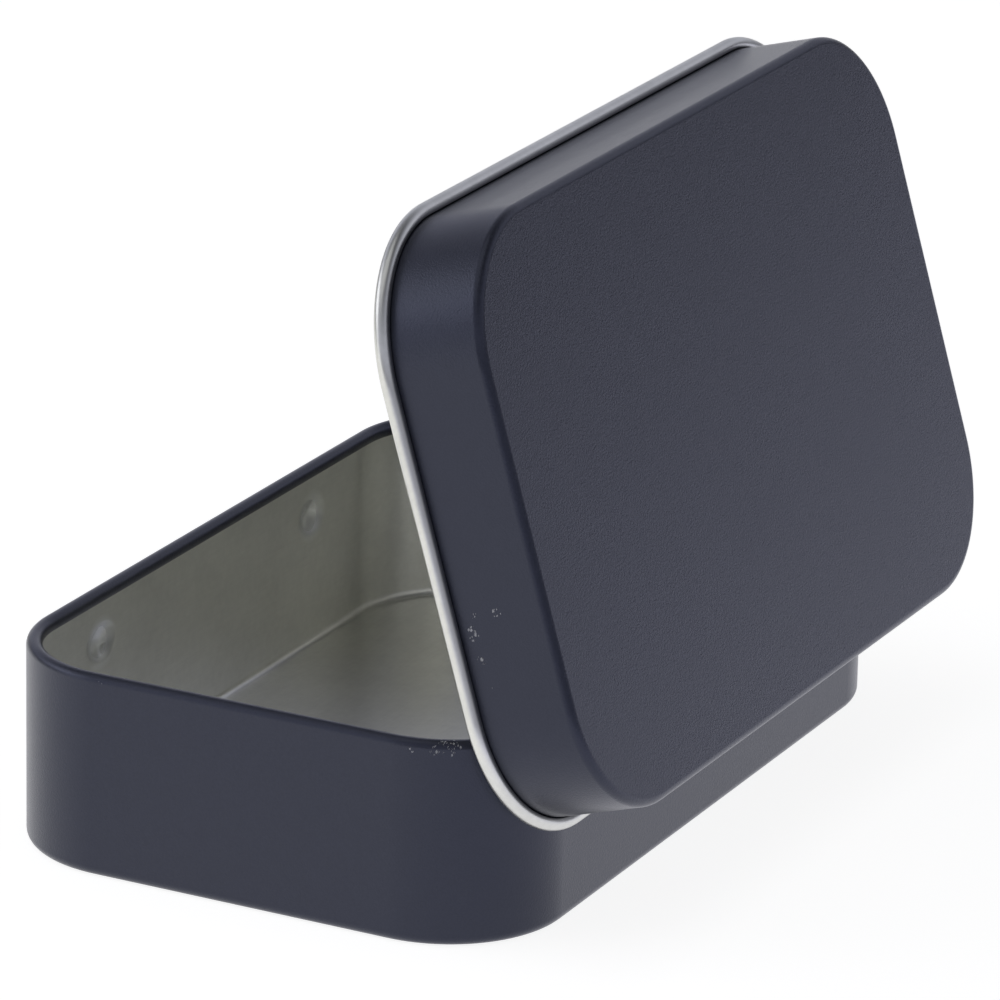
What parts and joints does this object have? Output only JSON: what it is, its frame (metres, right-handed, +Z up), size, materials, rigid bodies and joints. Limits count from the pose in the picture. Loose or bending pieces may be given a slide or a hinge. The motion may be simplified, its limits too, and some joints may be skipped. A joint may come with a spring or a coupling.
{
  "type": "hinged metal storage tin",
  "caption": "Small rectangular metal tin with rounded corners, a dark satin coat, bare metal inside and a hinged lid with a rolled bead, standing open.",
  "frame": {"origin": "centre of the base's flat underside, on the surface that the tin stands on", "axes": "+X along the tin's length, +Y from the front wall with its two bumps to the hinge, +Z up"},
  "size_m": [0.0942, 0.0683, 0.0706],
  "materials": {
    "dark_coat": "satin blue-black powder coat with a fine sandy texture, on the outside of both shells",
    "bare_metal": "bare satin tinplate inside both shells and on the lid's bead, and plain drawn hinge wire"
  },
  "bodies": {
    "base": {"base_shell": "dark_coat"},
    "lid": {"lid_shell": "dark_coat", "hinge_wire_left": "bare_metal", "hinge_wire_right": "bare_metal"}
  },
  "joints": [
    {"name": "lid_hinge", "type": "hinge", "parent": "base", "child": "lid", "pos_m": [0, 0.0297, 0.0112], "axis": [-1, 0, 0], "range_deg": [-73.3, 35]}
  ]
}
